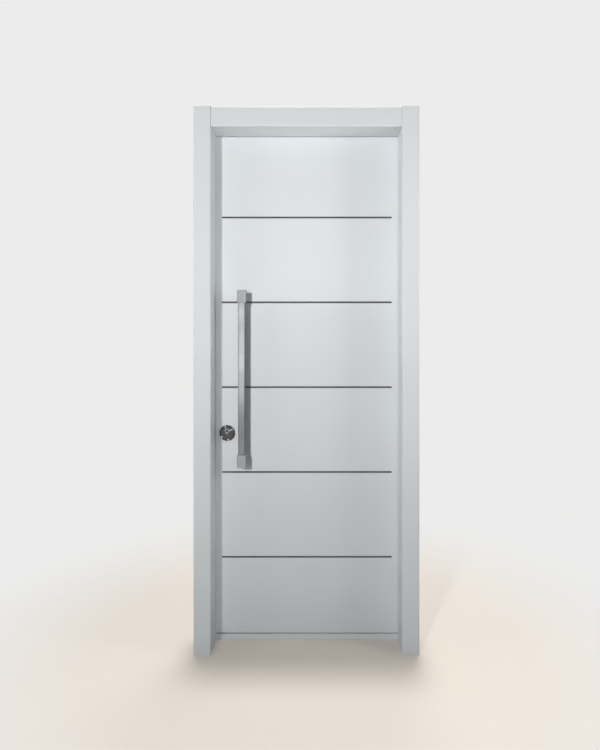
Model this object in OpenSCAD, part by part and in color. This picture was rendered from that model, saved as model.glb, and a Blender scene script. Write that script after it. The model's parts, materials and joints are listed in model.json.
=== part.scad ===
// Steel entrance door in its folded steel frame, seen from the street side along +Y.
// Millimetres, +Z up. The origin is on the floor, midway between the jambs, in the plane of the leaf's face.

/* [Opening] */
// Clear width between the jamb reveals
clear_width = 800; // [720:10:1000]
// Clear height from the floor to the underside of the head
clear_height = 2210; // [1950:10:2400]

/* [Frame] */
// Face width of the side casings
casing_face = 73; // [60:1:110]
// Face height of the head casing
head_face = 84; // [72:1:130]
// Depth of the reveal from the casing front to the leaf
reveal_depth = 120; // [90:1:180]
// Thickness of the folded frame sheet
frame_sheet = 2; // [1.5:0.1:2.5]
// Radius on the inside of the frame folds
frame_fold = 2.5; // [1.5:0.5:4]
// Radius of the casing's rounded outer edge
casing_round = 7; // [5:0.5:12]
// Depth of the casing's return to the wall
casing_return = 24; // [15:1:40]
// Width of the stop that the leaf closes against
stop_width = 20; // [18:1:30]
// Width of the flange on the room side
room_flange = 44; // [42:1:60]
// Depth of the lip on the room flange
room_lip = 12; // [8:1:20]
// Open joint between the head casing and the jambs
head_joint = 0.8; // [0.4:0.1:2]
// Height of the threshold
threshold_height = 24; // [20:1:30]
// Wall of the threshold extrusion
threshold_wall = 2.5; // [2:0.1:4]
// Diameter of the wall fixing holes in the rebates
fixing_hole = 11; // [8:0.5:13]
// Heights of the wall fixings, as two pairs about one centre
fixing_centre = 1100; // [1000:10:1200]
// Spacing of the outer pair of wall fixings
fixing_outer = 1800; // [1400:10:1840]
// Spacing of the inner pair of wall fixings
fixing_inner = 760; // [600:10:900]

/* [Seals] */
// Space between the stop and the closed leaf
seal_space = 4; // [3:0.5:6]
// Width of the frame seals
seal_width = 10; // [8:0.5:12]

/* [Leaf] */
// Thickness of the leaf
leaf_thickness = 64; // [60:1:80]
// Thickness of the outer panel
outer_thickness = 8; // [6:0.5:12]
// Thickness of the inner panel
inner_thickness = 6; // [4:0.5:10]
// Gap beside the leaf on the hinge side
hinge_gap = 3; // [2.5:0.1:4]
// Gap beside the leaf on the lock side
lock_gap = 5.5; // [5.5:0.1:8]
// Gap above the leaf
top_gap = 4; // [3:0.5:6]
// Gap under the leaf
bottom_gap = 6; // [4:0.5:10]
// Sheet thickness of the channels inside the leaf
channel_sheet = 2; // [1.5:0.1:3]
// Width of the channels round the leaf's edge
channel_width = 32; // [30:1:40]
// Width of the upright stiffeners
stiffener_width = 40; // [30:1:60]
// Distance of the first stiffener from the pull handle's bolts
stiffener_offset = 40; // [30:1:80]

/* [Inlays] */
// Width of the metal inlays
inlay_width = 8; // [5:0.5:12]
// Thickness of the metal inlays
inlay_thickness = 2; // [1:0.5:3]
// How far the inlays lie below the panel's face
inlay_sink = 0.5; // [0.2:0.1:1]
// Distance of the inlays' ends from the reveals
inlay_inset = 27; // [15:1:60]
// Height of the lowest inlay
inlay_first = 363; // [200:1:450]
// Spacing of the inlays
inlay_pitch = 373; // [300:1:400]

/* [Pull handle] */
// Side of the square pull bar
pull_side = 29; // [25:1:36]
// Turn of the pull bar about its own length
pull_turn = 0; // [0:1:45]
// Wall of the pull bar's tube
pull_wall = 2; // [1.5:0.1:3]
// Radius of the pull bar's long edges
pull_round = 3; // [2:0.5:5]
// Overall length of the pull handle
pull_length = 760; // [500:1:1200]
// Height of the pull handle's middle
pull_height = 1150; // [1000:1:1250]
// Distance of the pull bar from the leaf's lock edge
pull_inset = 136; // [130:1:160]
// Distance of the pull bar's middle from the leaf
pull_reach = 55; // [50:1:80]
// Side of the collars at the ends of the pull bar
collar_side = 37; // [37:0.5:46]
// Height of the collars
collar_height = 55; // [40:1:80]
// Thickness of the closed end of the collars
collar_cap = 8; // [4:0.5:12]
// Diameter of the posts behind the collars
post_diameter = 20; // [16:0.5:24]
// Diameter of the bolts through the leaf
pull_bolt = 8; // [6:0.5:10]

/* [Lock] */
// Height of the key plug
lock_height = 918; // [880:1:1000]
// Distance of the key plug from the leaf's lock edge
lock_backset = 65; // [60:1:75]
// Height of the inside lever above the key plug
lever_rise = 85; // [80:1:100]
// Diameter of the round bolts
bolt_diameter = 18; // [14:0.5:20]
// Throw of the round bolts
bolt_throw = 20; // [12:0.5:22]
// Spacing of the round bolts
bolt_pitch = 30; // [26:0.5:34]
// Wall of the lock case
case_wall = 1.6; // [1.2:0.1:2.5]
// Depth of the lock case behind the key plug
case_behind = 40; // [35:1:60]
// Room in the lock case under the lowest bolt
case_below = 30; // [25:1:50]
// Room in the lock case above the lever
case_above = 50; // [40:1:70]
// Length of the forend past each end of the lock case
forend_end = 28; // [20:1:40]
// Thickness of the forend on the leaf's edge
forend_thickness = 3; // [2:0.5:4]
// Width of the forend
forend_width = 26; // [26:0.5:30]
// Throw of the latch
latch_throw = 12; // [8:0.5:14]
// Height of the latch
latch_height = 24; // [18:1:30]
// Width of the latch
latch_width = 14; // [10:0.5:16]
// Thickness of the strike plate
strike_thickness = 2; // [1.5:0.1:2.5]
// Width of the strike plate
strike_width = 28; // [26:0.5:32]
// Sheet of the guard box behind the strike plate
guard_sheet = 1.5; // [1:0.1:2]
// Width of the rim that joins the guard box to the jamb
guard_rim = 8; // [5:0.5:9]
// Diameter of the rods to the head and the threshold
rod_diameter = 12; // [10:0.5:14]
// Throw of the rods
rod_throw = 18; // [14:0.5:19]

/* [Lock furniture] */
// Diameter of the outside rosette
rosette_diameter = 69; // [64:0.5:80]
// Thickness of the outside rosette
rosette_thickness = 14; // [13:0.5:18]
// Diameter of the turning cover in the rosette
cover_diameter = 48; // [46:0.5:52]
// Thickness of the turning cover
cover_thickness = 3; // [2:0.5:4]
// Drop of the rosette's middle below the key plug
rosette_drop = 10; // [9:0.5:11]
// Diameter of the roses on the room side
rose_diameter = 52; // [48:1:60]
// Thickness of the roses on the room side
rose_thickness = 8; // [6:0.5:10]
// Length of the lever from its axis
lever_length = 125; // [100:1:140]
// Diameter of the lever
lever_diameter = 19; // [16:0.5:22]
// Distance of the lever's grip from its rose
lever_reach = 44; // [38:1:60]
// Side of the square spindle
spindle_side = 8; // [7:0.5:9]
// Height of the thumbturn's grip
thumb_height = 32; // [26:1:36]
// Thickness of the thumbturn's grip
thumb_thickness = 10; // [8:0.5:14]
// Length of the thumbturn's grip
thumb_length = 22; // [16:1:30]

/* [Hinges] */
// Diameter of the hinge barrels
barrel_diameter = 20; // [18:0.5:24]
// Height of each hinge
hinge_height = 120; // [90:1:160]
// Diameter of the hinge pins
hinge_pin_diameter = 10; // [8:0.5:12]
// Thickness of the hinge wings
wing_thickness = 3; // [2.5:0.5:4]
// Reach of the hinge wings from the hinge axis
wing_reach = 42; // [36:1:43]
// Height of the middle hinge
hinge_middle = 1140; // [1000:1:1200]
// Spacing of the hinges
hinge_pitch = 840; // [600:1:880]
// Diameter of the dog bolts on the hinge edge
dog_diameter = 14; // [10:0.5:16]
// Distance of the dog bolts from the hinges
dog_offset = 120; // [100:1:160]

/* [Hidden] */
$fn = 64;
fold_steps = 5; // flats that make up one folded corner
running = 0.06; // radial clearance of a shaft that turns
sliding = 0.3; // clearance round a piece that slides
seat = 0.3; // clearance of a piece in its recess
cut = 1; // overshoot of a cut past a face
hole_margin = 2; // room round a bolt where it enters the frame

// planes of the frame
reveal_x = clear_width / 2;
rebate_x = reveal_x + stop_width;
rebate_z = clear_height + stop_width;
casing_x = reveal_x + casing_face;
frame_top = clear_height + head_face;
front_y = -reveal_depth;
stop_y = -seal_space;
room_y = leaf_thickness;

// planes of the leaf
lock_edge = -(rebate_x - lock_gap);
hinge_edge = rebate_x - hinge_gap;
leaf_bottom = threshold_height + bottom_gap;
leaf_top = rebate_z - top_gap;
leaf_width = hinge_edge - lock_edge;
leaf_height = leaf_top - leaf_bottom;
channel_front = outer_thickness;
channel_back = leaf_thickness - inner_thickness;
bay_bottom = leaf_bottom + channel_width;
bay_top = leaf_top - channel_width;
inlay_length = clear_width - 2 * inlay_inset;

// the lock, which lies midway between the two panels
lock_y = (channel_front + channel_back) / 2;
lock_x = lock_edge + lock_backset;
lever_z = lock_height + lever_rise;
bolt_r = bolt_diameter / 2;
bolt_heights = [for (i = [-1 : 1]) lock_height + i * bolt_pitch];
case_thickness = bolt_diameter + 2 * (case_wall + sliding);
case_front = lock_edge + forend_thickness;
case_depth = lock_backset + case_behind;
case_bottom = lock_height - bolt_pitch - bolt_r - case_below;
case_top = lever_z + case_above;
forend_bottom = case_bottom - forend_end;
forend_top = case_top + forend_end;
rod_x = lock_edge + channel_width / 2;
rod_r = rod_diameter / 2;
bolt_chamfer = 2; // bevel on the ends of the bolts and rods
hub_r = 11; // hub that the lever's spindle turns in the lock case

// profile cylinder
cylinder_r = 8.5;
cylinder_leg = 10;
cylinder_drop = 24.5;
plug_r = 6.5;
cam_r = 15;
cam_width = 9.8;
cam_tooth = 8; // width of the cam's tooth
slot_width = 10.4;
keyway_width = 2.4;
keyway_height = 9;
keyway_depth = 22;
cylinder_proud = 2; // how far the cylinder stands out of the room side's rose
rosette_z = lock_height - rosette_drop;
cover_sink = 1; // depth of the turning cover below the rosette's face
cover_back = cover_sink + cover_thickness - rosette_thickness; // plane behind the turning cover
cylinder_front = cover_back + seat;
cylinder_back = room_y + rose_thickness + cylinder_proud;

// hinges
hinge_x = rebate_x - hinge_gap / 2;
barrel_r = barrel_diameter / 2;
barrel_gap = 1; // space between a hinge barrel and the faces beside it
hinge_y = room_y + barrel_r + barrel_gap;
hinge_heights = [for (i = [-1 : 1]) hinge_middle + i * hinge_pitch];
knuckle = hinge_height / 3;
knuckle_gap = 0.3;
pin_r = hinge_pin_diameter / 2;
dog_heights = [hinge_heights[0] + dog_offset, hinge_middle + dog_offset, hinge_heights[2] - dog_offset];
dog_length = 10;
dog_nose = 4; // length of the dog bolts' tapered nose
dog_taper = 2.1; // how much the nose narrows on each side

// pull handle
pull_x = lock_edge + pull_inset;
post_heights = [for (s = [-1, 1]) pull_height + s * (pull_length - collar_height) / 2];
post_r = post_diameter / 2;
post_foot = 4; // height of the round foot that each post stands on
post_foot_r = 1.5 * post_r;
post_end = 8; // metal left in front of the bolt's hole in a post
bolt_end = 4; // space left in front of the bolt in its hole
bolt_head = 5; // height of the bolts' heads on the room side
bolt_head_r = 1.1 * pull_bolt;
bolt_head_ease = 1.5; // bevel round the bolts' heads
bolt_socket = 5; // width of the six-sided socket across its flats
bolt_socket_depth = 3;

// uprights inside the leaf, spread evenly from the pull handle's bolts to the hinge stile
stiffener_start = pull_x + stiffener_offset;
stiffener_step = (hinge_edge - channel_width - stiffener_start) / 3;
stiffener_xs = [for (i = [0 : 2]) stiffener_start + i * stiffener_step];

paint = [0.80, 0.82, 0.83];
dark_metal = [0.36, 0.37, 0.38];
bright_metal = [0.72, 0.73, 0.75];
zinc = [0.62, 0.64, 0.66];
black_rubber = [0.08, 0.08, 0.09];
wool = [0.70, 0.64, 0.48];

// Folded sheet: an outline of constant thickness whose middle line follows the points, with round corners
function direction(a, b) = (b - a) / norm(b - a);
function left_of(d) = [-d[1], d[0]];
function fold_arc(a, b, c, radius, shift) =
    let (
        d = direction(a, b),
        e = direction(b, c),
        side = sign(d[0] * e[1] - d[1] * e[0]),
        turn = acos(d * e),
        centre = b - d * radius * tan(turn / 2) + side * radius * left_of(d),
        start = -side * left_of(d),
        first = atan2(start[1], start[0])
    )
    [for (i = [0 : fold_steps])
        let (angle = first + side * turn * i / fold_steps)
        centre + (radius - side * shift) * [cos(angle), sin(angle)]];
function fold_side(points, radii, shift) =
    let (last = len(points) - 1)
    concat(
        [points[0] + shift * left_of(direction(points[0], points[1]))],
        [for (i = [1 : last - 1])
            each fold_arc(points[i - 1], points[i], points[i + 1], radii[i - 1], shift)],
        [points[last] + shift * left_of(direction(points[last - 1], points[last]))]
    );
function reversed(list) = [for (i = [len(list) - 1 : -1 : 0]) list[i]];
function folded_sheet(points, radii, thickness) =
    concat(fold_side(points, radii, thickness / 2), reversed(fold_side(points, radii, -thickness / 2)));

// Frame section from the wall return round the casing, reveal, stop and rebate to the room lip.
// The first coordinate runs away from the opening, the second into the room.
function frame_path(reveal, face) =
    let (
        half = frame_sheet / 2,
        outer = reveal + face - half,
        inner = reveal + half,
        rebate = reveal + stop_width + half,
        flange = reveal + stop_width + room_flange - half
    )
    [
        [outer, front_y + casing_return],
        [outer, front_y + half],
        [inner, front_y + half],
        [inner, stop_y - half],
        [rebate, stop_y - half],
        [rebate, room_y - half],
        [flange, room_y - half],
        [flange, room_y - room_lip]
    ];
frame_bend = frame_fold + frame_sheet / 2;
frame_radii = [casing_round - frame_sheet / 2, frame_bend, frame_bend, frame_bend, frame_bend, frame_bend];

module frame_section(reveal, face)
    polygon(folded_sheet(frame_path(reveal, face), frame_radii, frame_sheet));

// Channel section: web on the first axis, flanges along the second, open towards +X
module channel_section(width, depth) {
    half = channel_sheet / 2;
    bend = 1.5 * channel_sheet;
    path = [[width, half], [half, half], [half, depth - half], [width, depth - half]];
    polygon(folded_sheet(path, [bend, bend], channel_sheet));
}

// Round bar, hole or pad along X, from x to x + length
module along_x(x, y, z, radius, length)
    translate([x, y, z]) rotate([0, 90, 0]) cylinder(r = radius, h = length);

// Round bar, hole or pad along Y, from y to y + length
module along_y(x, y, z, radius, length)
    translate([x, y, z]) rotate([-90, 0, 0]) cylinder(r = radius, h = length);

// Block given by its low corner and its high corner
module block(low, high)
    translate(low) cube(high - low);

// Profile of the lock cylinder: a round top on a narrow leg with a round foot
module cylinder_profile(grow = 0) {
    circle(r = cylinder_r + grow);
    leg = cylinder_leg / 2 + grow;
    foot = cylinder_drop - cylinder_leg / 2;
    translate([-leg, -foot]) square([2 * leg, foot]);
    translate([0, -foot]) circle(r = leg);
}

module cylinder_bar(grow, from_y, to_y)
    translate([lock_x, to_y, lock_height]) rotate([90, 0, 0])
        linear_extrude(to_y - from_y) cylinder_profile(grow);

// Round bar along X with a bevelled end on the low side
module bolt_along_x(x, y, z, radius, length) {
    along_x(x + bolt_chamfer, y, z, radius, length - bolt_chamfer);
    translate([x, y, z]) rotate([0, 90, 0])
        cylinder(r1 = radius - bolt_chamfer, r2 = radius, h = bolt_chamfer);
}

// Plate on an edge of the lock side, as long as the forend and with round ends
module edge_plate(x, thickness, half, grow = 0) {
    low = forend_bottom + half;
    high = forend_top - half;
    block([x, lock_y - half - grow, low], [x + thickness, lock_y + half + grow, high]);
    for (z = [low, high])
        along_x(x, lock_y, z, half + grow, thickness);
}

module wall_fixings(x)
    for (gap = [fixing_outer, fixing_inner], s = [-1, 1])
        along_x(x - 2 * frame_sheet, lock_y, fixing_centre + s * gap / 2, fixing_hole / 2, 4 * frame_sheet);

module strike_openings(x, length, grow) {
    for (z = bolt_heights)
        along_x(x, lock_y, z, bolt_r + grow, length);
    across = latch_width / 2 + grow;
    tall = latch_height / 2 + grow;
    block([x, lock_y - across, lever_z - tall], [x + length, lock_y + across, lever_z + tall]);
}

// Frame
module jamb_left()
    color(paint) difference() {
        mirror([1, 0, 0]) linear_extrude(frame_top) frame_section(reveal_x, casing_face);
        wall_fixings(-rebate_x);
        strike_openings(-rebate_x - 2 * frame_sheet, 4 * frame_sheet, 2 * hole_margin);
    }

module jamb_right()
    color(paint) difference() {
        linear_extrude(frame_top) frame_section(reveal_x, casing_face);
        wall_fixings(rebate_x);
        for (z = dog_heights)
            along_x(rebate_x - cut, lock_y, z, dog_diameter / 2 + hole_margin, 3 * frame_sheet);
    }

// The head is coped at both ends: its casing fits between the jambs and its rebate runs on to theirs
module frame_head()
    color(paint) difference() {
        rotate([0, -90, 0]) linear_extrude(2 * rebate_x, center = true)
            frame_section(clear_height, head_face);
        for (s = [-1, 1])
            translate([s * (reveal_x - head_joint + stop_width), front_y, rebate_z])
                cube([2 * stop_width, 2 * (reveal_depth + stop_y + frame_fold + seat), 4 * head_face],
                     center = true);
        translate([rod_x, lock_y, rebate_z - cut])
            cylinder(r = rod_r + hole_margin, h = 3 * frame_sheet);
    }

// Hollow threshold with a rounded nose towards the street and a slope towards the room
module threshold() {
    nose = threshold_wall;
    low = stop_y + frame_fold + seat;
    slope = 16;
    back = room_y - slope;
    nose_arc = [for (i = [0 : fold_steps])
        let (angle = 180 - 90 * i / fold_steps)
        [low + nose, threshold_height - nose] + nose * [cos(angle), sin(angle)]];
    outline = concat(
        [[low, 0]],
        nose_arc,
        [[back, threshold_height], [room_y, threshold_height / 3], [room_y, 0]]
    );
    color(paint) difference() {
        rotate([90, 0, 90]) linear_extrude(2 * rebate_x, center = true) difference() {
            polygon(outline);
            translate([low + threshold_wall, threshold_wall])
                square([back - low - 2 * threshold_wall, threshold_height - 2 * threshold_wall]);
        }
        translate([rod_x, lock_y, threshold_height - threshold_wall - cut])
            cylinder(r = rod_r + hole_margin, h = threshold_wall + 2 * cut);
    }
}

// Seal section: a flat foot on the stop and a round bulb towards the leaf
module seal_section() {
    bulb = (seal_space - seat) / 2;
    square([seal_width, bulb / 2]);
    translate([seal_width / 2, bulb]) circle(r = bulb);
}
seal_inset = (stop_width - hinge_gap - seal_width) / 2;

module seal_left()
    color(black_rubber) mirror([1, 0, 0]) seal_upright();

module seal_right()
    color(black_rubber) seal_upright();

module seal_upright()
    translate([reveal_x + seal_inset, stop_y, threshold_height + seat])
        linear_extrude(clear_height + seal_inset + seal_width - threshold_height - seat) seal_section();

module seal_head()
    color(black_rubber) translate([0, stop_y, clear_height + seal_inset])
        rotate([0, -90, 0]) linear_extrude(2 * (reveal_x + seal_inset - seat), center = true)
            seal_section();

module strike_plate()
    color(zinc) difference() {
        edge_plate(-rebate_x, strike_thickness, strike_width / 2);
        strike_openings(-rebate_x - cut, strike_thickness + 2 * cut, hole_margin);
    }

// Folded box on the back of the lock jamb: the bolts enter it, and the filling of the wall stays out
module strike_guard() {
    mouth_x = -rebate_x - frame_sheet;
    floor_x = lock_edge - bolt_throw - hole_margin;
    color(zinc) difference() {
        union() {
            guard_block(mouth_x - guard_sheet, mouth_x, guard_rim);
            guard_block(floor_x - guard_sheet, mouth_x, guard_sheet);
        }
        guard_block(floor_x, mouth_x + cut, 0);
    }
}

// Block round the bolts' and the latch's way into the jamb, grown by the given amount
module guard_block(from_x, to_x, grow) {
    half = bolt_r + 3 * hole_margin + grow;
    low = bolt_heights[0] - half;
    high = lever_z + latch_height / 2 + half;
    block([from_x, lock_y - half, low], [to_x, lock_y + half, high]);
}

// Leaf
module outer_panel()
    color(paint) difference() {
        block([lock_edge, 0, leaf_bottom], [hinge_edge, outer_thickness, leaf_top]);
        for (i = [1 : 5])
            inlay_groove(i);
        cylinder_bar(seat, -cut, outer_thickness + cut);
        for (z = post_heights)
            along_y(pull_x, -cut, z, pull_bolt / 2 + sliding, outer_thickness + 2 * cut);
    }

function inlay_height(i) = inlay_first + (i - 1) * inlay_pitch;

module inlay_groove(i)
    translate([-inlay_length / 2, -cut, inlay_height(i) - inlay_width / 2])
        cube([inlay_length, inlay_sink + inlay_thickness + cut, inlay_width]);

module inlay_strip(i)
    color(dark_metal) translate([-inlay_length / 2, inlay_sink, inlay_height(i) - inlay_width / 2])
        cube([inlay_length, inlay_thickness, inlay_width]);

module inner_panel()
    color(paint) difference() {
        block([lock_edge, channel_back, leaf_bottom], [hinge_edge, leaf_thickness, leaf_top]);
        cylinder_bar(seat, channel_back - cut, leaf_thickness + cut);
        along_y(lock_x, channel_back - cut, lever_z, spindle_side, inner_thickness + 2 * cut);
        for (z = post_heights)
            along_y(pull_x, channel_back - cut, z, pull_bolt / 2 + sliding, inner_thickness + 2 * cut);
    }

module stile_lock()
    color(zinc) difference() {
        translate([lock_edge, channel_front, leaf_bottom]) linear_extrude(leaf_height)
            channel_section(channel_width, channel_back - channel_front);
        edge_plate(lock_edge - cut, 2 * channel_sheet + cut, forend_width / 2, seat);
    }

module stile_hinge()
    color(zinc) translate([hinge_edge, channel_front, leaf_bottom]) mirror([1, 0, 0])
        linear_extrude(leaf_height) channel_section(channel_width, channel_back - channel_front);

module rail()
    translate([(lock_edge + hinge_edge) / 2, channel_front, 0]) rotate([0, -90, 0])
        linear_extrude(leaf_width - 2 * channel_width, center = true)
            channel_section(channel_width, channel_back - channel_front);

module rail_bottom()
    color(zinc) translate([0, 0, leaf_bottom]) rail();

module rail_top()
    color(zinc) translate([0, 0, leaf_top]) mirror([0, 0, 1]) rail();

module stiffener(i)
    color(zinc) translate([stiffener_xs[i - 1], channel_front, bay_bottom])
        linear_extrude(bay_top - bay_bottom) channel_section(stiffener_width, channel_back - channel_front);

// Mineral wool slabs in the three bays beside the stiffeners
module insulation()
    color(wool) for (x = stiffener_xs)
        block([x + stiffener_width + seat, channel_front + seat, bay_bottom + seat],
              [x + stiffener_step - seat, channel_back - seat, bay_top - seat]);

module bottom_seal()
    color(black_rubber) block(
        [lock_edge + channel_width, lock_y - seal_width / 2, threshold_height + seat],
        [hinge_edge - channel_width, lock_y + seal_width / 2, leaf_bottom]
    );

// Fixed studs on the hinge edge, with a tapered nose
module dog_bolts() {
    r = dog_diameter / 2;
    straight = dog_length - dog_nose;
    color(zinc) for (z = dog_heights) {
        along_x(hinge_edge, lock_y, z, r, straight);
        translate([hinge_edge + straight, lock_y, z]) rotate([0, 90, 0])
            cylinder(r1 = r, r2 = r - dog_taper, h = dog_nose);
    }
}

guide_height = 24;
guide_heights = [
    leaf_bottom + 3 * guide_height,
    (leaf_bottom + case_bottom) / 2,
    (leaf_top + case_top) / 2,
    leaf_top - 3 * guide_height
];

// Guide blocks for the rods, seated on the web of the lock stile
module rod_guides()
    color(zinc) for (z = guide_heights)
        difference() {
            block([lock_edge + channel_sheet, lock_y - rod_diameter, z - guide_height / 2],
                  [lock_edge + channel_width - channel_sheet, lock_y + rod_diameter, z + guide_height / 2]);
            translate([rod_x, lock_y, z - guide_height])
                cylinder(r = rod_r + running, h = 2 * guide_height);
        }

// Lock case: a thin box, open towards the forend, with cut-outs for the cylinder and the lever's hub
module lock_case() {
    half = case_thickness / 2;
    wall = case_wall;
    color(zinc) difference() {
        block([case_front, lock_y - half, case_bottom], [case_front + case_depth, lock_y + half, case_top]);
        block([case_front - cut, lock_y - half + wall, case_bottom + wall],
              [case_front + case_depth - wall, lock_y + half - wall, case_top - wall]);
        cylinder_bar(seat, lock_y - case_thickness, lock_y + case_thickness);
        along_y(lock_x, lock_y - case_thickness, lever_z, hub_r + running, 2 * case_thickness);
    }
}

module lock_forend()
    color(bright_metal) difference() {
        edge_plate(lock_edge, forend_thickness, forend_width / 2);
        strike_openings(lock_edge - cut, forend_thickness + 2 * cut, sliding);
    }

// Profile cylinder with bores for the key plug and the thumbturn and a slot for the cam
module cylinder_body() {
    bore = cylinder_back - cylinder_front + 2 * cut;
    color(bright_metal) difference() {
        cylinder_bar(0, cylinder_front, cylinder_back);
        along_y(lock_x, cylinder_front - cut, lock_height, plug_r + running, bore);
        along_y(lock_x, lock_y - slot_width / 2, lock_height, cam_r + 2 * seat, slot_width);
    }
}

// Outside rosette: a turned dome with a round recess for the cover
module lock_rosette() {
    r = rosette_diameter / 2;
    foot = 3;
    rim = 3;
    steps = 8;
    face = cover_diameter / 2 + rim;
    depth = rosette_thickness;
    dome = [for (i = [0 : steps])
        let (angle = 90 * i / steps)
        [face + (r - face) * cos(angle), foot + (depth - foot) * sin(angle)]];
    color(dark_metal) difference() {
        translate([lock_x, 0, rosette_z]) rotate([90, 0, 0])
            rotate_extrude() polygon(concat([[0, 0], [r, 0]], dome, [[0, depth]]));
        along_y(lock_x, -depth - cut, rosette_z, cover_diameter / 2 + running, depth + cut + cover_back);
        cylinder_bar(seat, -depth - cut, cut);
    }
}

// Turning cover with a round opening for the key and a raised grip at its rim
module rosette_cover() {
    r = cover_diameter / 2;
    key_gap = 0.5;
    grip_gap = 2;
    grip_inner = cylinder_r + rosette_drop + grip_gap;
    grip_rim = 1;
    grip_half = 28;
    grip_turn = 76;
    color(dark_metal) translate([lock_x, cover_back - running, rosette_z]) rotate([90, 0, 0]) {
        linear_extrude(cover_thickness - running) difference() {
            circle(r = r);
            translate([0, rosette_drop]) circle(r = cylinder_r + key_gap);
        }
        linear_extrude(cover_thickness + cover_sink) intersection() {
            difference() {
                circle(r = r - grip_rim);
                circle(r = grip_inner);
            }
            rotate(grip_turn) polygon([[0, 0], 2 * r * [cos(grip_half), -sin(grip_half)],
                                       2 * r * [cos(grip_half), sin(grip_half)]]);
        }
    }
}

// Key plug with its keyway
module key_plug()
    color(bright_metal) difference() {
        along_y(lock_x, cylinder_front, lock_height, plug_r, lock_y - slot_width / 2 - cylinder_front);
        block([lock_x - keyway_width / 2, cylinder_front - cut, lock_height - keyway_height / 2],
              [lock_x + keyway_width / 2, cylinder_front + keyway_depth, lock_height + keyway_height / 2]);
    }

rose_ease = 2; // bevel round the rim of the roses

// Turned rose with an eased rim, for the room side
module rose_blank(z)
    translate([lock_x, room_y, z]) rotate([-90, 0, 0])
        rotate_extrude() polygon([
            [0, 0],
            [rose_diameter / 2, 0],
            [rose_diameter / 2, rose_thickness - rose_ease],
            [rose_diameter / 2 - rose_ease, rose_thickness],
            [0, rose_thickness]
        ]);

module thumb_rose()
    color(bright_metal) difference() {
        rose_blank(rosette_z);
        cylinder_bar(seat, room_y - cut, room_y + rose_thickness + cut);
    }

module lever_rose()
    color(bright_metal) difference() {
        rose_blank(lever_z);
        along_y(lock_x, room_y - cut, lever_z, lever_diameter / 2 + sliding, rose_thickness + 2 * cut);
    }

// Thumbturn: an oval grip on a shaft that runs in the cylinder
module thumbturn() {
    collar = 4;
    shaft_front = lock_y + cam_width / 2;
    collar_front = cylinder_back + seat;
    color(bright_metal) {
        along_y(lock_x, shaft_front, lock_height, plug_r, collar_front - shaft_front);
        along_y(lock_x, collar_front, lock_height, cylinder_r, collar);
        translate([lock_x, collar_front + collar, lock_height]) rotate([-90, 0, 0])
            linear_extrude(thumb_length) intersection() {
                circle(r = thumb_height / 2);
                square([thumb_thickness, thumb_height], center = true);
            }
    }
}

// Cam on the end of the thumbturn's shaft, resting with its tooth down
module cylinder_cam()
    color(zinc) translate([lock_x, lock_y + cam_width / 2, lock_height]) rotate([90, 0, 0])
        linear_extrude(cam_width) {
            circle(r = cylinder_r);
            intersection() {
                circle(r = cam_r);
                translate([-cam_tooth / 2, -cam_r]) square([cam_tooth, cam_r]);
            }
        }

lever_y = room_y + rose_thickness + lever_reach;
lever_bend = 1.2 * lever_diameter;

// Lever: a round neck, a swept elbow and a straight grip with a domed end
module lever_handle() {
    r = lever_diameter / 2;
    neck = room_y + seat;
    color(bright_metal) difference() {
        union() {
            along_y(lock_x, neck, lever_z, r, lever_y - lever_bend - neck);
            translate([lock_x + lever_bend, lever_y - lever_bend, lever_z])
                rotate([0, 0, 90]) rotate_extrude(angle = 90) translate([lever_bend, 0]) circle(r = r);
            along_x(lock_x + lever_bend, lever_y, lever_z, r, lever_length - lever_bend - r);
            translate([lock_x + lever_length - r, lever_y, lever_z]) sphere(r = r);
        }
        spindle_bar(seat / 2, neck - cut, lever_y - lever_bend);
    }
}

module spindle_bar(grow, from_y, to_y) {
    half = spindle_side / 2 + grow;
    block([lock_x - half, from_y, lever_z - half], [lock_x + half, to_y, lever_z + half]);
}

// Square spindle with the round hub that turns in the lock case
module lever_spindle()
    color(zinc) {
        spindle_bar(0, lock_y - case_thickness / 2, lever_y - lever_bend - cut);
        along_y(lock_x, lock_y - case_thickness / 2, lever_z, hub_r, case_thickness);
    }

// Latch, held back in the forend, with a narrow tail and a nose that slopes where it meets the strike
module latch_bolt() {
    nose = lock_edge + seat;
    guided = 6;
    blunt = 1;
    hub_gap = 2;
    shoulder = nose + latch_throw + forend_thickness + guided;
    tail = lock_x - hub_r - hub_gap;
    half = latch_width / 2;
    color(bright_metal) {
        translate([0, 0, lever_z - latch_height / 2]) linear_extrude(latch_height)
            polygon([[nose + latch_throw - blunt, lock_y - half], [nose, lock_y + half],
                     [shoulder, lock_y + half], [shoulder, lock_y - half]]);
        block([shoulder, lock_y - half / 2, lever_z - latch_height / 4],
              [tail, lock_y + half / 2, lever_z + latch_height / 4]);
    }
}

// Three round bolts on one carriage, drawn back level with the forend
module deadbolts() {
    back = lock_x - cam_r - 3 * seat;
    carriage = 6;
    nose = lock_edge + seat;
    color(bright_metal) {
        for (z = bolt_heights)
            bolt_along_x(nose, lock_y, z, bolt_r, back - carriage - nose);
        block([back - carriage, lock_y - bolt_r, bolt_heights[0] - bolt_r],
              [back, lock_y + bolt_r, bolt_heights[2] + bolt_r]);
    }
}

// Rod with a bevelled tip, of the given length down from its tip
module rod(length) {
    translate([0, 0, -length]) cylinder(r = rod_r, h = length - bolt_chamfer);
    translate([0, 0, -bolt_chamfer]) cylinder(r1 = rod_r, r2 = rod_r - bolt_chamfer, h = bolt_chamfer);
}
rod_sink = 1; // depth of the rods' tips inside the leaf's ends

module top_rod()
    color(bright_metal) translate([rod_x, lock_y, leaf_top - rod_sink])
        rod(leaf_top - rod_sink - forend_top - rod_throw);

module bottom_rod()
    color(bright_metal) translate([rod_x, lock_y, leaf_bottom + rod_sink]) mirror([0, 0, 1])
        rod(forend_bottom - rod_throw - leaf_bottom - rod_sink);

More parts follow.
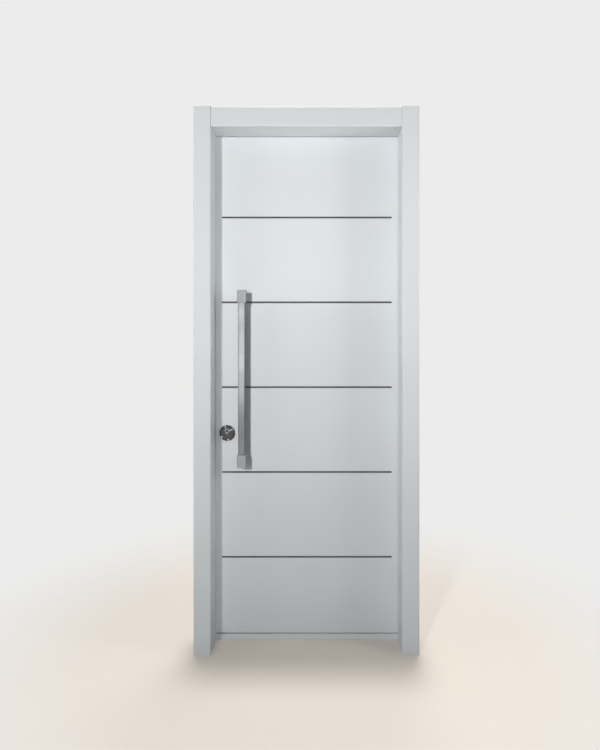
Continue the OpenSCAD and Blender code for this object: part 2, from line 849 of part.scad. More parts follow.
// Pull handle: a square tube, which may be turned about its length, in a collar with a post at each end
function rounded_square(side, radius) =
    [for (corner = [0 : 3], i = [0 : fold_steps])
        let (middle = 45 + 90 * corner, angle = middle - 45 + 90 * i / fold_steps)
        sqrt(2) * (side / 2 - radius) * [cos(middle), sin(middle)] + radius * [cos(angle), sin(angle)]];

module turned_square(side, radius, low, high)
    translate([pull_x, -pull_reach, low]) rotate(-pull_turn)
        linear_extrude(high - low) polygon(rounded_square(side, radius));

module pull_bar() {
    half = pull_length / 2 - collar_cap;
    low = pull_height - half;
    high = pull_height + half;
    color(bright_metal) difference() {
        turned_square(pull_side, pull_round, low, high);
        turned_square(pull_side - 2 * pull_wall, pull_round / 2, low - cut, high + cut);
    }
}

// Collar and post in one: side is -1 at the bottom end and 1 at the top
module pull_post(side) {
    z = pull_height + side * (pull_length - collar_height) / 2;
    low = z - collar_height / 2;
    high = z + collar_height / 2;
    socket = pull_side + 2 * seat / 3;
    socket_round = pull_round - seat / 3;
    bolt_depth = pull_reach - pull_side / 2 - post_end;
    color(bright_metal) difference() {
        union() {
            turned_square(collar_side, pull_round, low, high);
            along_y(pull_x, -pull_reach + pull_side / 2, z, post_r, pull_reach - pull_side / 2);
            along_y(pull_x, -post_foot, z, post_foot_r, post_foot);
        }
        turned_square(
            socket,
            socket_round,
            side < 0 ? low + collar_cap : low - cut,
            side < 0 ? high + cut : high - collar_cap
        );
        along_y(pull_x, -bolt_depth, z, pull_bolt / 2 + running, bolt_depth + cut);
    }
}

module pull_post_bottom()
    pull_post(-1);

module pull_post_top()
    pull_post(1);

// Bolts from the room side into the posts, under bevelled heads with a six-sided socket
module pull_bolts() {
    into = pull_reach - pull_side / 2 - post_end - bolt_end;
    straight = bolt_head - bolt_head_ease;
    color(bright_metal) for (z = post_heights)
        translate([pull_x, 0, z]) rotate([-90, 0, 0]) difference() {
            union() {
                translate([0, 0, -into]) cylinder(r = pull_bolt / 2, h = into + room_y);
                translate([0, 0, room_y]) cylinder(r = bolt_head_r, h = straight);
                translate([0, 0, room_y + straight])
                    cylinder(r1 = bolt_head_r, r2 = bolt_head_r - bolt_head_ease, h = bolt_head_ease);
            }
            translate([0, 0, room_y + bolt_head - bolt_socket_depth])
                cylinder(d = bolt_socket / cos(30), h = bolt_socket_depth + cut, $fn = 6);
        }
}

// Hinges: knuckles with a wing on each side, the outer two on the frame and the middle one on the leaf
module hinge_half(z, side, from, to) {
    tall = hinge_height / 2;
    plate_start = barrel_r + barrel_gap;
    web_end = plate_start + barrel_gap;
    translate([hinge_x, 0, z]) difference() {
        mirror([side < 0 ? 1 : 0, 0, 0]) {
            block([plate_start, room_y, -tall], [wing_reach, room_y + wing_thickness, tall]);
            for (i = [0 : len(from) - 1]) {
                block([0, room_y + barrel_gap, from[i]], [web_end, room_y + wing_thickness, to[i]]);
                translate([0, hinge_y, from[i]]) cylinder(r = barrel_r, h = to[i] - from[i]);
            }
        }
        translate([0, hinge_y, -hinge_height]) cylinder(r = pin_r + running, h = 2 * hinge_height);
    }
}

module hinge_frame_wing(i)
    color(paint) hinge_half(
        hinge_heights[i - 1],
        1,
        [-hinge_height / 2, knuckle / 2 + knuckle_gap],
        [-knuckle / 2 - knuckle_gap, hinge_height / 2]
    );

module hinge_leaf_wing(i)
    color(paint) hinge_half(hinge_heights[i - 1], -1, [-knuckle / 2], [knuckle / 2]);

// Pin with a round cap that rests on the top knuckle
module hinge_pin(i) {
    cap = 5;
    color(bright_metal) translate([hinge_x, hinge_y, hinge_heights[i - 1]]) {
        translate([0, 0, -hinge_height / 2]) cylinder(r = pin_r, h = hinge_height);
        translate([0, 0, hinge_height / 2]) cylinder(r1 = barrel_r, r2 = barrel_r - cap / 2, h = cap);
    }
}

jamb_left();
jamb_right();
frame_head();
threshold();
seal_left();
seal_right();
seal_head();
strike_plate();
strike_guard();
outer_panel();
inner_panel();
stile_lock();
stile_hinge();
rail_top();
rail_bottom();
insulation();
bottom_seal();
dog_bolts();
rod_guides();
lock_case();
lock_forend();
cylinder_body();
lock_rosette();
thumb_rose();
lever_rose();
pull_bar();
pull_post_bottom();
pull_post_top();
pull_bolts();
key_plug();
rosette_cover();
lever_handle();
lever_spindle();
latch_bolt();
thumbturn();
cylinder_cam();
deadbolts();
top_rod();
bottom_rod();
for (i = [1 : 5])
    inlay_strip(i);
for (i = [1 : 3]) {
    stiffener(i);
    hinge_frame_wing(i);
    hinge_leaf_wing(i);
    hinge_pin(i);
}
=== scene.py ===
import json
import math
import bpy
import numpy as np
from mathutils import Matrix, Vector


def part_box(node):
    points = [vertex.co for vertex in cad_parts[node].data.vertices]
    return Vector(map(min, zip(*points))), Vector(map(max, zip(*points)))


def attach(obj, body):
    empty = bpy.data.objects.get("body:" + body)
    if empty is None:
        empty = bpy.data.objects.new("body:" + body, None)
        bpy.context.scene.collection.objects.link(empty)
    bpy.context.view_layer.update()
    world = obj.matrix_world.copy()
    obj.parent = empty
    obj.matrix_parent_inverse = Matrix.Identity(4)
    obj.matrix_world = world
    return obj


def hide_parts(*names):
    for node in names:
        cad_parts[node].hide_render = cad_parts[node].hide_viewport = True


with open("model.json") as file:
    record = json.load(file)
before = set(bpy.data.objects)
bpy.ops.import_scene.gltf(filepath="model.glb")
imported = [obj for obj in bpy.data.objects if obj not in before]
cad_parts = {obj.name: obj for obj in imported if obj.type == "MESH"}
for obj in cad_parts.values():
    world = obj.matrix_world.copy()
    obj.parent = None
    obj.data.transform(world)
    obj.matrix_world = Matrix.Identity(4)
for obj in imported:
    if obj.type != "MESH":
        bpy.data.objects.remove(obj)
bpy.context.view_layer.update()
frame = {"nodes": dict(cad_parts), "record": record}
solids = frame["nodes"]
print("frame loaded:", len(solids), "solids")


# Shader trees: a socket value is either a number or another node's output
def addNode(tree, kind, sockets, **settings):
    made = tree.nodes.new(kind)
    for key, value in settings.items():
        setattr(made, key, value)
    for key, value in sockets.items():
        if isinstance(value, bpy.types.NodeSocket):
            tree.links.new(value, made.inputs[key])
        else:
            made.inputs[key].default_value = value
    return made


def objectPlace(tree):
    return addNode(tree, "ShaderNodeTexCoord", {}).outputs["Object"]


def mathOf(tree, operation, a, b):
    return addNode(tree, "ShaderNodeMath", {0: a, 1: b}, operation=operation).outputs[0]


def stretchedBy(tree, vector, factors):
    return addNode(tree, "ShaderNodeVectorMath", {0: vector, 1: factors}, operation="MULTIPLY").outputs[0]


def scaledColour(tree, colour, factor):
    return addNode(tree, "ShaderNodeVectorMath", {0: colour, "Scale": factor}, operation="SCALE").outputs[0]


def mixedColour(tree, share, first, second):
    sockets = {0: share, 6: first, 7: second}  # 6 and 7 are the mix node's colour sockets
    return addNode(tree, "ShaderNodeMix", sockets, data_type="RGBA").outputs[2]


def noiseOf(tree, vector, scale, detail=2.0, roughness=0.5):
    sockets = {"Vector": vector, "Scale": scale, "Detail": detail, "Roughness": roughness}
    return addNode(tree, "ShaderNodeTexNoise", sockets).outputs["Fac"]


noiseSpan = (0.3, 0.7)  # nearly all of a noise lies between these


def swingOf(tree, value, middle, reach):
    # the noise's span becomes middle - reach to middle + reach
    sockets = {
        "Value": value,
        "From Min": noiseSpan[0],
        "From Max": noiseSpan[1],
        "To Min": mathOf(tree, "SUBTRACT", middle, reach),
        "To Max": mathOf(tree, "ADD", middle, reach),
    }
    return addNode(tree, "ShaderNodeMapRange", sockets).outputs["Result"]


# Every finish is a node group that gives a colour, a roughness and a height
finishOutputs = [
    ("Color", "NodeSocketColor"),
    ("Roughness", "NodeSocketFloat"),
    ("Height", "NodeSocketFloat"),
]


def startFinish(name, inputs):
    tree = bpy.data.node_groups.new(name, "ShaderNodeTree")
    for label, kind, value in inputs:
        socket = tree.interface.new_socket(name=label, in_out="INPUT", socket_type=kind)
        socket.default_value = value
    for label, kind in finishOutputs:
        tree.interface.new_socket(name=label, in_out="OUTPUT", socket_type=kind)
    return tree, tree.nodes.new("NodeGroupInput").outputs


def endFinish(tree, given, shade, haze, height):
    # the tint swings with the shade, the roughness with the haze
    tone = swingOf(tree, shade, 1.0, given["Contrast"])
    results = {
        "Color": scaledColour(tree, given["Tint"], tone),
        "Roughness": swingOf(tree, haze, given["Gloss"], given["Gloss Swing"]),
        "Height": height,
    }
    sink = tree.nodes.new("NodeGroupOutput")
    for label, source in results.items():
        tree.links.new(source, sink.inputs[label])
    return tree


# Sprayed paint: slow clouds in the tone, a soft orange peel, and a finer grain of the satin
def sprayedPaintGroup():
    tree, given = startFinish("sprayedPaint", [
        ("Tint", "NodeSocketColor", (0.7, 0.7, 0.7, 1)),
        ("Contrast", "NodeSocketFloat", 0.012),
        ("Gloss", "NodeSocketFloat", 0.34),
        ("Gloss Swing", "NodeSocketFloat", 0.03),
        ("Peel Size", "NodeSocketFloat", 260.0),
        ("Grain Share", "NodeSocketFloat", 0.25),
    ])
    place = objectPlace(tree)
    clouds = noiseOf(tree, place, scale=2.6, detail=3.0)
    haze = noiseOf(tree, place, scale=14.0, detail=4.0, roughness=0.6)
    peel = noiseOf(tree, place, scale=given["Peel Size"])
    grain = noiseOf(tree, place, scale=2400.0, detail=1.0)
    height = mathOf(tree, "ADD", peel, mathOf(tree, "MULTIPLY", grain, given["Grain Share"]))
    return endFinish(tree, given, clouds, haze, height)


# Drawn or brushed metal: fine streaks, long where the Streak scale is small
def brushedMetalGroup():
    tree, given = startFinish("brushedMetal", [
        ("Tint", "NodeSocketColor", (0.6, 0.6, 0.6, 1)),
        ("Streak", "NodeSocketVector", (900.0, 900.0, 9.0)),
        ("Contrast", "NodeSocketFloat", 0.08),
        ("Gloss", "NodeSocketFloat", 0.3),
        ("Gloss Swing", "NodeSocketFloat", 0.06),
    ])
    place = objectPlace(tree)
    stretched = stretchedBy(tree, place, given["Streak"])
    streaks = noiseOf(tree, stretched, scale=1.0, detail=3.0, roughness=0.65)
    smudges = noiseOf(tree, place, scale=22.0, detail=3.0)
    return endFinish(tree, given, streaks, smudges, streaks)


# Hot-dipped zinc: crystal cells of slightly different greys
def zincSpangleGroup():
    tree, given = startFinish("zincSpangle", [
        ("Tint", "NodeSocketColor", (0.5, 0.5, 0.5, 1)),
        ("Cell Size", "NodeSocketFloat", 70.0),
        ("Contrast", "NodeSocketFloat", 0.14),
        ("Gloss", "NodeSocketFloat", 0.42),
        ("Gloss Swing", "NodeSocketFloat", 0.1),
    ])
    place = objectPlace(tree)
    cells = addNode(tree, "ShaderNodeTexVoronoi", {"Vector": place, "Scale": given["Cell Size"]})
    greys = addNode(tree, "ShaderNodeSeparateColor", {0: cells.outputs["Color"]}).outputs
    fine = noiseOf(tree, place, scale=380.0)
    return endFinish(tree, given, greys[0], greys[1], fine)


# Soft stuff, rubber or wool: clouded gloss, and fibres along one axis
def fibrousGroup():
    tree, given = startFinish("fibrous", [
        ("Tint", "NodeSocketColor", (0.1, 0.1, 0.1, 1)),
        ("Fibre", "NodeSocketVector", (40.0, 400.0, 400.0)),
        ("Contrast", "NodeSocketFloat", 0.2),
        ("Gloss", "NodeSocketFloat", 0.7),
        ("Gloss Swing", "NodeSocketFloat", 0.08),
    ])
    place = objectPlace(tree)
    stretched = stretchedBy(tree, place, given["Fibre"])
    fibres = noiseOf(tree, stretched, scale=1.0, detail=4.0, roughness=0.7)
    clouds = noiseOf(tree, place, scale=30.0)
    return endFinish(tree, given, fibres, clouds, fibres)


finishGroups = {
    "paint": sprayedPaintGroup(),
    "brushed": brushedMetalGroup(),
    "zinc": zincSpangleGroup(),
    "fibrous": fibrousGroup(),
}

# One finish per entry: its group, the group's values, the bump in metres and the shader's plain values
finishes = {
    "framePaint": {
        "group": "paint",
        "values": {"Tint": (0.655, 0.680, 0.690, 1), "Gloss": 0.45},
        "bump": 0.00002,
        "shader": {"Metallic": 0.0, "IOR": 1.46},
    },
    "leafPaint": {
        "group": "paint",
        "values": {"Tint": (0.665, 0.692, 0.712, 1), "Contrast": 0.015, "Gloss": 0.44},
        "bump": 0.000015,
        "shader": {"Metallic": 0.0, "IOR": 1.46},
    },
    "inlayMetal": {
        "group": "brushed",
        "values": {
            "Tint": (0.108, 0.113, 0.122, 1),
            "Streak": (12.0, 800.0, 1200.0),
            "Gloss": 0.55,
            "Gloss Swing": 0.03,
        },
        "bump": 0.000004,
        "shader": {"Metallic": 0.55},
    },
    "pullMetal": {
        "group": "brushed",
        "values": {
            "Tint": (0.20, 0.204, 0.212, 1),
            "Streak": (1600.0, 1600.0, 6.0),
            "Contrast": 0.04,
            "Gloss": 0.24,
            "Gloss Swing": 0.02,
        },
        "bump": 0.000001,
        "shader": {"Metallic": 1.0},
    },
    # collars: the bar's own metal, rougher, with a brighter tint that is painted highlight for the light the
    # collars catch
    "collarMetalPaintedHighlight": {
        "group": "brushed",
        "values": {
            "Tint": (0.38, 0.385, 0.39, 1),
            "Streak": (1600.0, 1600.0, 6.0),
            "Contrast": 0.05,
            "Gloss": 0.42,
            "Gloss Swing": 0.03,
        },
        "bump": 0.000001,
        "shader": {"Metallic": 1.0},
    },
    "rosetteMetal": {
        "group": "brushed",
        "values": {
            "Tint": (0.082, 0.082, 0.082, 1),
            "Streak": (300.0, 300.0, 300.0),
            "Contrast": 0.12,
            "Gloss": 0.24,
        },
        "bump": 0.000004,
        "shader": {"Metallic": 1.0},
    },
    "brightSteel": {
        "group": "brushed",
        "values": {
            "Tint": (0.84, 0.84, 0.83, 1),
            "Streak": (700.0, 700.0, 700.0),
            "Contrast": 0.04,
            "Gloss": 0.34,
            "Gloss Swing": 0.03,
        },
        "bump": 0.000002,
        "shader": {"Metallic": 1.0},
    },
    "ringSteel": {
        "group": "brushed",
        "values": {
            "Tint": (0.24, 0.24, 0.235, 1),
            "Streak": (700.0, 700.0, 700.0),
            "Contrast": 0.06,
            "Gloss": 0.32,
            "Gloss Swing": 0.03,
        },
        "bump": 0.000002,
        "shader": {"Metallic": 1.0},
    },
    # key plug: lock steel tinted nearly black, painted shade for its place deep in the cover's recess
    "plugSteelPaintedShade": {
        "group": "brushed",
        "values": {"Tint": (0.07, 0.068, 0.064, 1), "Streak": (60.0, 900.0, 900.0), "Gloss": 0.3},
        "bump": 0.000004,
        "shader": {"Metallic": 1.0},
    },
    "lockSteel": {
        "group": "brushed",
        "values": {"Tint": (0.58, 0.585, 0.59, 1), "Streak": (60.0, 900.0, 900.0), "Gloss": 0.28},
        "bump": 0.00001,
        "shader": {"Metallic": 1.0},
    },
    "zincSteel": {
        "group": "zinc",
        "values": {"Tint": (0.47, 0.48, 0.50, 1)},
        "bump": 0.00001,
        "shader": {"Metallic": 1.0},
    },
    "sealRubber": {
        "group": "fibrous",
        "values": {"Tint": (0.022, 0.022, 0.024, 1), "Fibre": (500.0, 500.0, 12.0), "Gloss": 0.62},
        "bump": 0.00003,
        "shader": {"Metallic": 0.0},
    },
    "mineralWool": {
        "group": "fibrous",
        "values": {"Tint": (0.42, 0.34, 0.16, 1), "Fibre": (220.0, 900.0, 60.0), "Gloss": 0.9},
        "bump": 0.0008,
        "shader": {"Metallic": 0.0},
    },
}


def makeFinish(name, look):
    material = bpy.data.materials.new(name)
    material.use_nodes = True
    tree = material.node_tree
    shader = tree.nodes["Principled BSDF"]
    finish = addNode(tree, "ShaderNodeGroup", {}, node_tree=finishGroups[look["group"]])
    for key, value in look["values"].items():
        finish.inputs[key].default_value = value
    for key, value in look["shader"].items():
        shader.inputs[key].default_value = value
    bump = addNode(tree, "ShaderNodeBump", {"Height": finish.outputs["Height"], "Distance": look["bump"]})
    tree.links.new(finish.outputs["Color"], shader.inputs["Base Color"])
    tree.links.new(finish.outputs["Roughness"], shader.inputs["Roughness"])
    tree.links.new(bump.outputs["Normal"], shader.inputs["Normal"])
    return material


# The solids: each wears its slot's finish, apart from the nodes that have their own
materials = {name: makeFinish(name, look) for name, look in finishes.items()}
slotFinish = {
    "frame_paint": "framePaint",
    "leaf_paint": "leafPaint",
    "inlay_metal": "inlayMetal",
    "pull_metal": "pullMetal",
    "rosette_metal": "rosetteMetal",
    "lock_steel": "lockSteel",
    "zinc_steel": "zincSteel",
    "seal_rubber": "sealRubber",
    "mineral_wool": "mineralWool",
}
# the key plug wears the darker steel, its tint painted shade of the recess
nodeFinish = {"key_plug": "plugSteelPaintedShade"}
for part in frame["record"]["subparts"]:
    mesh = solids[part["node"]].data
    mesh.materials.clear()
    mesh.materials.append(materials[nodeFinish.get(part["node"], slotFinish[part["material_slot"]])])
print("finishes set:", len(materials))


# Surfaces: a grid of points, rows along v and columns closed round u, with a middle point at capped ends
def gridSurface(points, capStart=True, capEnd=True):
    rows, columns = points.shape[:2]
    index = np.arange(rows * columns).reshape(rows, columns)
    ahead = np.roll(index, -1, axis=1)
    quads = np.stack([index[:-1], ahead[:-1], ahead[1:], index[1:]], axis=-1).reshape(-1, 4)
    faces = quads.tolist()
    places = [points.reshape(-1, 3)]
    count = rows * columns
    for wanted, row, turn in ((capStart, 0, True), (capEnd, rows - 1, False)):
        if not wanted:
            continue
        places.append(points[row].mean(axis=0)[None])
        pair = (ahead[row], index[row]) if turn else (index[row], ahead[row])
        fan = np.stack([pair[0], pair[1], np.full_like(pair[0], count)], axis=-1)
        faces += fan.tolist()
        count += 1
    return np.concatenate(places), faces


def addObject(name, data):
    made = bpy.data.objects.new(name, data)
    bpy.context.scene.collection.objects.link(made)
    return made


sharpDegrees = 35.0  # edges that turn by more than this stay sharp


def makePiece(name, surfaces, finish, body, replaced=()):
    places, faces, start = [], [], 0
    for points, polygons in surfaces:
        places.append(points)
        faces += [[corner + start for corner in polygon] for polygon in polygons]
        start += len(points)
    mesh = bpy.data.meshes.new(name)
    mesh.from_pydata(np.concatenate(places), [], faces)
    mesh.shade_smooth()
    mesh.set_sharp_from_angle(angle=math.radians(sharpDegrees))
    mesh.materials.append(materials[finish])
    piece = addObject(name, mesh)
    even = piece.modifiers.new("evenShading", "WEIGHTED_NORMAL")
    even.keep_sharp = True
    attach(piece, body)
    if replaced:
        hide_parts(*replaced)


def middleOf(node):
    low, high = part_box(node)
    return (np.array(low) + np.array(high)) / 2


def roundAngles(columns):
    return np.linspace(0, 2 * np.pi, columns, endpoint=False)


def heading(angle):
    return np.array([math.cos(angle), math.sin(angle)])


def roundedSquare(half, radius, steps):
    # corner c: centre on the diagonal at 45 + 90c, plus the radius swept from 90c to 90c + 90 degrees
    middle = np.radians(45 + 90 * np.arange(4))[:, None]
    sweep = middle + np.radians(np.linspace(-45, 45, steps))[None]
    inner = math.sqrt(2) * (half - radius)
    ring = np.stack([inner * np.cos(middle) + radius * np.cos(sweep),
                     inner * np.sin(middle) + radius * np.sin(sweep)], axis=-1)
    return ring.reshape(-1, 2)


def sweptUp(ring, stations, centre):
    # the ring, scaled by each station's share about its middle, at each station's height
    heights, shares = np.array(stations).T
    flat = ring[None] * shares[:, None, None] + np.array(centre)
    level = np.broadcast_to(heights[:, None, None], flat.shape[:2] + (1,))
    return np.concatenate([flat, level], axis=-1)


def turnedAlongY(profile, centre, columns=48, radiusOf=None):
    # each profile point (radius, y) swept round the Y axis through the centre: x + r cos u, y, z + r sin u
    radii, depths = np.array(profile).T
    u = roundAngles(columns)
    reach = radii[:, None] * np.ones_like(u)[None]
    if radiusOf is not None:
        reach = radiusOf(reach, u[None])
    along = np.broadcast_to(depths[:, None], reach.shape)
    return np.stack([centre[0] + reach * np.cos(u), along, centre[1] + reach * np.sin(u)], axis=-1)


# Pull handle
pullHandle = {
    "side": 0.029,
    "round": 0.003,
    "cornerSteps": 7,
    "collarSide": 0.037,
    "edge": 0.0012,         # bevel round the collars' ends
    "lip": 0.0008,          # shadow gap where the bar enters a collar
    "mouthDepth": 0.0048,   # depth of that gap
    "postRadius": 0.010,
    "footRadius": 0.015,
    "footHeight": 0.004,
    "footRim": 0.0008,      # bevel round the foot
}


def makePullHandle(look):
    barLow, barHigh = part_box("pull_bar")
    centre = middleOf("pull_bar")[:2]
    half = look["side"] / 2
    bar = roundedSquare(half, look["round"], look["cornerSteps"])
    stations = [(barLow.z, 1.0), (barHigh.z, 1.0)]
    makePiece("pullBar", [gridSurface(sweptUp(bar, stations, centre))],
              "pullMetal", "leaf", ["pull_bar"])
    collarHalf = look["collarSide"] / 2
    ring = roundedSquare(collarHalf, look["round"], look["cornerSteps"])
    cut = 1 - look["edge"] / collarHalf
    mouth = (half + look["lip"]) / collarHalf
    foot, footRadius = look["footHeight"], look["footRadius"]
    rim, radius = look["footRim"], look["postRadius"]
    profile = [
        (footRadius, 0.0),
        (footRadius, -foot + rim),
        (footRadius - rim, -foot),
        (radius + rim, -foot),
        (radius, -foot - 2 * rim),
        (radius, centre[1] + half),
    ]
    for node, mouthUp in (("pull_post_bottom", True), ("pull_post_top", False)):
        low, high = (corner.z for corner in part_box(node))
        closedEnd, openEnd = (low, high) if mouthUp else (high, low)
        towardsMouth = 1 if mouthUp else -1
        edge, depth = towardsMouth * look["edge"], towardsMouth * look["mouthDepth"]
        stations = [
            (closedEnd, cut), (closedEnd + edge, 1.0), (openEnd - edge, 1.0), (openEnd, cut),
            (openEnd, mouth), (openEnd - depth, mouth),
        ]
        collar = sweptUp(ring, stations, centre)
        if not mouthUp:
            collar = collar[::-1]
        post = turnedAlongY(profile, (centre[0], (low + high) / 2))
        # the collars wear the rougher metal whose brighter tint is painted highlight
        makePiece("pullCollar" + ("Bottom" if mouthUp else "Top"), [gridSurface(collar), gridSurface(post)],
                  "collarMetalPaintedHighlight", "leaf", [node])


makePullHandle(pullHandle)
print("pull handle made")

# Screws: a low dome with a cross recess, on any face; lengths are shares of the head's radius
screw = {
    "rings": 9,
    "columns": 40,
    "innermost": 0.08,      # radius of the last ring
    "dome": 0.12,
    "edge": 0.04,           # height of the dome's edge
    "skirt": (1.02, -0.10),  # radius and height of the foot under that edge
    "crossWidth": 0.24,
    "crossReach": 0.62,
    "crossDepth": 0.30,
    "crossSoft": 0.1,       # how far the recess's walls slope
}


def smoothStep(low, high, value):
    share = np.clip((value - low) / (high - low), 0, 1)
    return share * share * (3 - 2 * share)


def screwHead(look, centre, out, across, radius):
    # height over the disc: dome (1 - r r), less the cross where the nearer of |x| and |y| is inside its arm
    up = np.cross(out, across)
    r = np.linspace(1.0, look["innermost"], look["rings"])[:, None]
    u = roundAngles(look["columns"])[None]
    x, y = r * np.cos(u), r * np.sin(u)
    near, far = np.minimum(abs(x), abs(y)), np.maximum(abs(x), abs(y))
    width, reach, soft = look["crossWidth"], look["crossReach"], look["crossSoft"]
    arm = 1 - smoothStep((0.5 - soft) * width, (0.5 + soft) * width, near)
    end = 1 - smoothStep((1 - soft) * reach, (1 + soft) * reach, far)
    rise = look["dome"] * (1 - r * r) - look["crossDepth"] * arm * end + look["edge"]
    top = np.stack([x, y, np.broadcast_to(rise, x.shape)], axis=-1)
    wider, lower = look["skirt"]
    skirt = np.stack([x[:1] * wider, y[:1] * wider, np.full_like(x[:1], lower)], axis=-1)
    local = np.concatenate([skirt, top]) * radius
    axes = np.array([across, up, out], float)
    return gridSurface(local @ axes + np.array(centre))


outToRoom = np.array([0.0, 1.0, 0.0])
acrossX = np.array([1.0, 0.0, 0.0])

hingeScrews = {
    "radius": 0.0042,
    "perWing": 4,
    "endInset": 0.016,
    "rowInset": 0.011,
    "wingThickness": 0.003,
}


def makeHingeScrews(look):
    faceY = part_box("inner_panel")[1].y + look["wingThickness"]
    for side in ("frame", "leaf"):
        heads = []
        for number in (1, 2, 3):
            low, high = (np.array(corner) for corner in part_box(f"hinge_{side}_wing_{number}"))
            rowX = high[0] - look["rowInset"] if side == "frame" else low[0] + look["rowInset"]
            for z in np.linspace(low[2] + look["endInset"], high[2] - look["endInset"], look["perWing"]):
                heads.append(screwHead(screw, (rowX, faceY, z), outToRoom, acrossX, look["radius"]))
        makePiece(f"hingeScrews_{side}", heads, "lockSteel", side)


makeHingeScrews(hingeScrews)

lockScrews = {"radius": 0.0038, "endInset": 0.013}


def makeLockScrews(look):
    for node, body, out in (("lock_forend", "leaf", -1), ("strike_plate", "frame", 1)):
        low, high = (np.array(corner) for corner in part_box(node))
        faceX = low[0] if out < 0 else high[0]
        middleY = (low[1] + high[1]) / 2
        heads = [screwHead(screw, (faceX, middleY, z), out * acrossX, out * outToRoom, look["radius"])
                 for z in (low[2] + look["endInset"], high[2] - look["endInset"])]
        makePiece("screws_" + node, heads, "lockSteel", body)


makeLockScrews(lockScrews)
print("screws made")

# Rosette: drop-shaped ring round the key, two bright ribs from it to the rim, two bright studs in the rim
rosette = {
    "gripRise": 0.0010,     # how far the cover's grip stands over its face
    "ringInner": 0.0090,
    "ringOuter": 0.0112,
    "ringRise": 0.0010,
    "ringRoot": 0.0005,     # how deep the ring sits in the cover
    "ringEdge": 0.25,       # bevel as a share of the ring's width
    "ringColumns": 96,
    "tipReach": 0.0040,     # how far the drop's tip runs past the ring
    "tipAngle": 262.0,
    "tipSpread": 20.0,
    "ribs": ((112.0, -0.0005, 0.0105), (29.0, -0.0042, 0.0105)),  # angle, offset from the key, start
    "ribHalf": 0.0020,
    "ribRise": 0.0011,
    "ribBevel": 0.4,        # length of a rib's tapered end, as a share of its half width
    "ribEnd": 0.7,          # size of the section at that end
    "ribColumns": 20,
    "coverReach": 0.0236,   # these three are radii about the rosette's middle
    "rimStart": 0.0246,
    "rimReach": 0.0328,
    "studs": (216.0, 283.0),
    "studReach": 0.0279,
    "studRadius": 0.0034,
    "studRoot": 0.004,      # how deep a stud sits in the rim
    "studDome": ((1.0, 0.12), (0.9, 0.20), (0.6, 0.25), (0.25, 0.27)),  # radius and height, as shares
    "studColumns": 24,
}


def makeKeyRing(look, key, face):
    inner, outer, rise = look["ringInner"], look["ringOuter"], look["ringRise"]
    tip = math.radians(look["tipAngle"])

    def dropped(reach, u):
        # radius grows towards the tip by a bell curve of the angle, fully at the outer edge
        away = np.degrees(abs((u - tip + np.pi) % (2 * np.pi) - np.pi))
        outward = (reach - inner) / (outer - inner)
        return reach + outward * look["tipReach"] * np.exp(-(away / look["tipSpread"]) ** 2)

    edge = look["ringEdge"] * (outer - inner)
    profile = [
        (outer, face + look["ringRoot"]),
        (outer, face - rise / 2),
        (outer - edge, face - rise),
        (inner + edge, face - rise),
        (inner, face - rise / 2),
        (inner, face + look["ringRoot"]),
    ]
    ring = turnedAlongY(profile, key, look["ringColumns"], dropped)
    closedRing = np.concatenate([ring, ring[:1]])
    makePiece("rosetteKeyRing", [gridSurface(closedRing, capStart=False, capEnd=False)],
              "ringSteel", "cover")


def ribAlong(look, centre, angle, start, end):
    # oval section carried outward: centre + r along + half cos u aside - rise sin u towards the room
    along = np.array([math.cos(angle), 0.0, math.sin(angle)])
    aside = np.array([-math.sin(angle), 0.0, math.cos(angle)])
    u = roundAngles(look["ribColumns"])[:, None]
    section = look["ribHalf"] * np.cos(u) * aside - look["ribRise"] * np.sin(u) * outToRoom
    bevel = look["ribBevel"] * look["ribHalf"]
    reach = np.array([start, start + bevel, end - bevel, end])[:, None, None]
    shares = np.array([look["ribEnd"], 1.0, 1.0, look["ribEnd"]])[:, None, None]
    return gridSurface(np.array(centre) + reach * along + shares * section[None])


def reachAt(base, along, radius):
    # distance along a line from its base to the circle of this radius round the rosette's middle
    inward = base @ along
    return -inward + math.sqrt(radius ** 2 - base @ base + inward ** 2)


def makeRosetteDetail(look):
    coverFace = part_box("rosette_cover")[0].y + look["gripRise"]
    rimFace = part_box("lock_rosette")[0].y
    key = middleOf("key_plug")[[0, 2]]
    middle = middleOf("lock_rosette")[[0, 2]]
    makeKeyRing(look, key, coverFace)
    onCover, onRim = [], []
    for degrees, offset, start in look["ribs"]:
        angle = math.radians(degrees)
        along = heading(angle)
        base = key - middle + offset * np.array([-along[1], along[0]])
        x, z = middle + base
        edges = (look["coverReach"], look["rimStart"], look["rimReach"])
        coverEnd, rimStart, rimEnd = (reachAt(base, along, radius) for radius in edges)
        onCover.append(ribAlong(look, (x, coverFace, z), angle, start, coverEnd))
        onRim.append(ribAlong(look, (x, rimFace, z), angle, rimStart, rimEnd))
    makePiece("rosetteRibs", onCover, "brightSteel", "cover")
    r = look["studRadius"]
    dome = [(r, rimFace + look["studRoot"])]
    dome += [(share * r, rimFace - height * r) for share, height in look["studDome"]]
    for degrees in look["studs"]:
        spot = middle + look["studReach"] * heading(math.radians(degrees))
        onRim.append(gridSurface(turnedAlongY(dome, spot, look["studColumns"])))
    makePiece("rosetteStuds", onRim, "brightSteel", "leaf")


makeRosetteDetail(rosette)
print("rosette detail made")

# Stage: pale floor that keeps the shadow near the door and runs into the background far off
backdrop = (0.84, 0.84, 0.835, 1)
floorLook = {
    "rings": (14.0, 6.0, 2.5, 1.0),
    "columns": 96,
    "near": 0.5,
    "far": 1.9,
    "colour": (0.55, 0.50, 0.445, 1),
    "glow": (0.07, 0.065, 0.06, 1),
    "bounce": (0.12, 0.12, 0.12, 1),
}


def seenDirectly(tree):
    path = addNode(tree, "ShaderNodeLightPath", {}).outputs
    either = mathOf(tree, "MAXIMUM", path["Is Camera Ray"], path["Is Glossy Ray"])
    return mathOf(tree, "MAXIMUM", either, path["Is Transmission Ray"])


